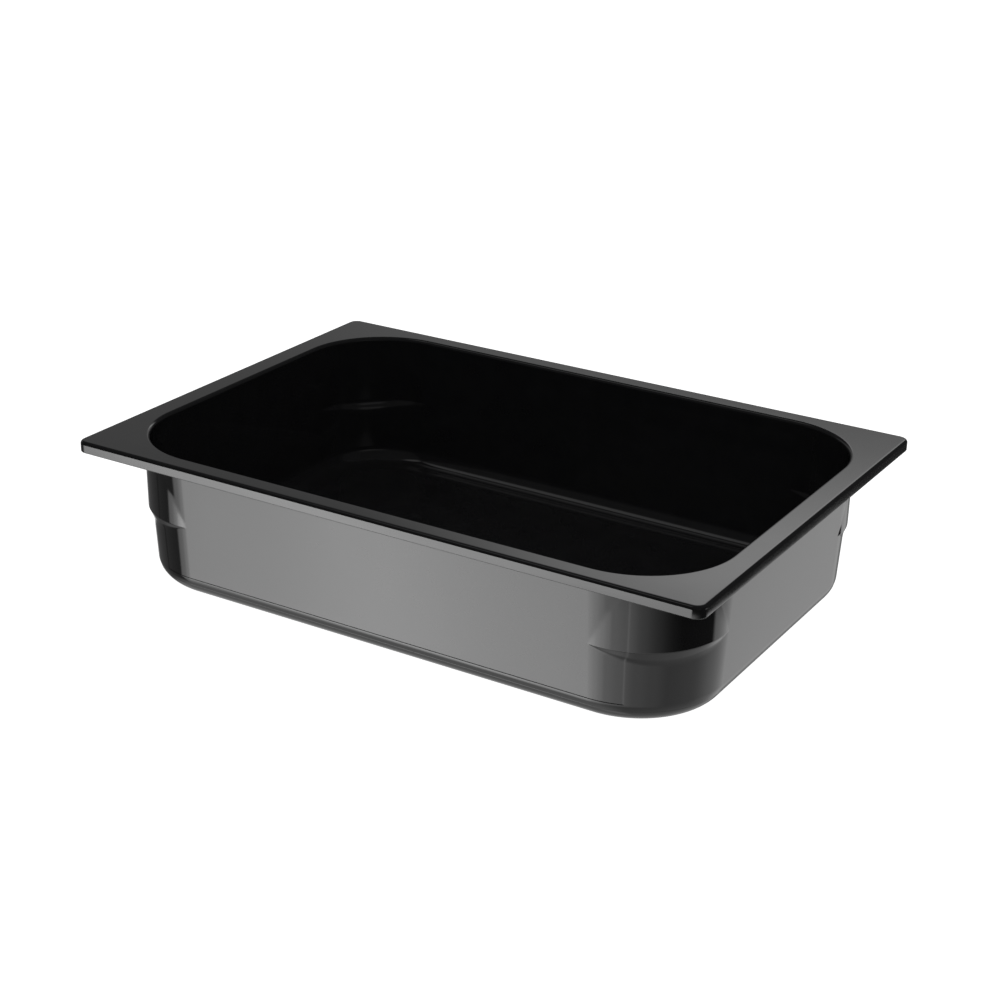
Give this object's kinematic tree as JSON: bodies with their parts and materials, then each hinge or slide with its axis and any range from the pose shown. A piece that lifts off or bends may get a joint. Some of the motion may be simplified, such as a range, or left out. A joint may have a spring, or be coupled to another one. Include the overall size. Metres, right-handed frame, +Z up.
{
  "type": "deli food pan",
  "caption": "Rectangular deli food pan in glossy black plastic: flat rim with turned-down lip, leaning walls, round corners with stacking shoulders and a flat floor.",
  "frame": {"origin": "middle of the pan's base, on the surface it stands on", "axes": "+X along the length, towards the right-hand end; +Y across the width, towards the back; +Z up, towards the rim"},
  "size_m": [0.35, 0.242, 0.077],
  "materials": {
    "pan_plastic": "glossy black moulded plastic with a very fine moulded texture"
  },
  "bodies": {
    "root": {"floor": "pan_plastic", "base_edge_front": "pan_plastic", "base_edge_back": "pan_plastic", "base_edge_left": "pan_plastic", "base_edge_right": "pan_plastic", "wall_front": "pan_plastic", "wall_back": "pan_plastic", "wall_left": "pan_plastic", "wall_right": "pan_plastic", "corner_front_left": "pan_plastic", "corner_front_right": "pan_plastic", "corner_back_left": "pan_plastic", "corner_back_right": "pan_plastic", "shoulder_front_left": "pan_plastic", "shoulder_front_right": "pan_plastic", "shoulder_back_left": "pan_plastic", "shoulder_back_right": "pan_plastic", "flange_front": "pan_plastic", "flange_back": "pan_plastic", "flange_left": "pan_plastic", "flange_right": "pan_plastic", "flange_corner_front_left": "pan_plastic", "flange_corner_front_right": "pan_plastic", "flange_corner_back_left": "pan_plastic", "flange_corner_back_right": "pan_plastic", "lip_front": "pan_plastic", "lip_back": "pan_plastic", "lip_left": "pan_plastic", "lip_right": "pan_plastic"}
  },
  "joints": []
}
